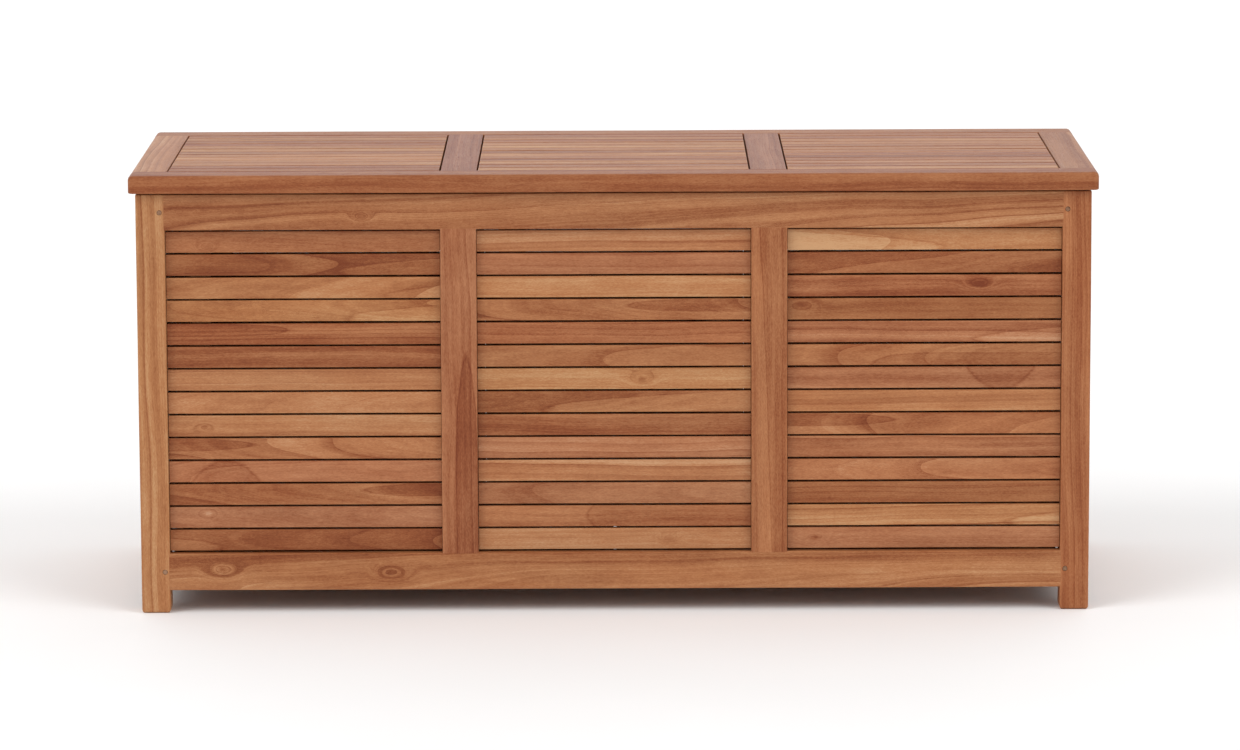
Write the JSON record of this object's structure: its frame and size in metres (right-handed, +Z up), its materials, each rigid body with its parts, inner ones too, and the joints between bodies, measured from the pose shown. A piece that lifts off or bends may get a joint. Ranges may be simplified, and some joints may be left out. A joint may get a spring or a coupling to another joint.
{
  "type": "deck storage box",
  "caption": "Long wooden outdoor storage chest with slatted walls in a leg-and-rail frame, a slatted duckboard floor and a hinged slatted lid held open by two slotted stays.",
  "frame": {"origin": "on the ground, under the middle of the bounding box", "axes": "+X to the right along the length, the front faces -Y, the hinges are at +Y, +Z up"},
  "size_m": [1.33, 0.5224, 0.612],
  "materials": {
    "teak": "sanded bare teak, orange-brown, strong board-to-board variation",
    "plug_wood": "sanded end grain, paler than the frame",
    "steel": "brushed stainless"
  },
  "bodies": {
    "carcass": {"rail_front_top": "teak", "rail_front_bottom": "teak", "mullion_front_left": "teak", "mullion_front_right": "teak", "slats_front_left": "teak", "slats_front_middle": "teak", "slats_front_right": "teak", "rail_back_top": "teak", "rail_back_bottom": "teak", "mullion_back_left": "teak", "mullion_back_right": "teak", "slats_back_left": "teak", "slats_back_middle": "teak", "slats_back_right": "teak", "rail_left_top": "teak", "rail_left_bottom": "teak", "slats_left_side": "teak", "rail_right_top": "teak", "rail_right_bottom": "teak", "slats_right_side": "teak", "leg_front_left": "teak", "leg_back_left": "teak", "duckboard_left": "teak", "stay_stud_plate_left": "steel", "leg_front_right": "teak", "leg_back_right": "teak", "duckboard_right": "teak", "stay_stud_plate_right": "steel", "plug_front_left_top": "plug_wood", "plug_front_left_bottom": "plug_wood", "plug_back_left_top": "plug_wood", "plug_back_left_bottom": "plug_wood", "plug_front_right_top": "plug_wood", "plug_front_right_bottom": "plug_wood", "plug_back_right_top": "plug_wood", "plug_back_right_bottom": "plug_wood", "floor_cleat_front": "teak", "floor_cleat_back": "teak", "hinge_leaf_box_left": "steel", "hinge_pin_left": "steel", "hinge_leaf_box_middle": "steel", "hinge_pin_middle": "steel", "hinge_leaf_box_right": "steel", "hinge_pin_right": "steel"},
    "lid": {"stay_lid_bracket_left": "steel", "stay_lid_bracket_right": "steel", "lid_rail_front": "teak", "lid_rail_back": "teak", "lid_end_left": "teak", "lid_mullion_left": "teak", "lid_mullion_right": "teak", "lid_end_right": "teak", "lid_slats_left": "teak", "lid_slats_middle": "teak", "lid_slats_right": "teak", "hinge_leaf_lid_left": "steel", "hinge_leaf_lid_middle": "steel", "hinge_leaf_lid_right": "steel"},
    "stay_left": {"stay_arm_left": "steel"},
    "stay_right": {"stay_arm_right": "steel"}
  },
  "joints": [
    {"name": "lid_hinge", "type": "hinge", "parent": "carcass", "child": "lid", "pos_m": [0, 0.25765, 0.586], "axis": [-1, 0, 0], "range_deg": [0, 95]},
    {"name": "stay_left_pivot", "type": "hinge", "parent": "lid", "child": "stay_left", "pos_m": [-0.62605, 0.00785, 0.576], "axis": [-1, 0, 0], "range_deg": [-47.5, 0]},
    {"name": "stay_right_pivot", "type": "hinge", "parent": "lid", "child": "stay_right", "pos_m": [0.62605, 0.00785, 0.576], "axis": [-1, 0, 0], "range_deg": [-47.5, 0]}
  ],
  "couplings": [
    {"joint": "stay_left_pivot", "follows": "lid_hinge", "ratio": -0.5},
    {"joint": "stay_right_pivot", "follows": "lid_hinge", "ratio": -0.5}
  ]
}
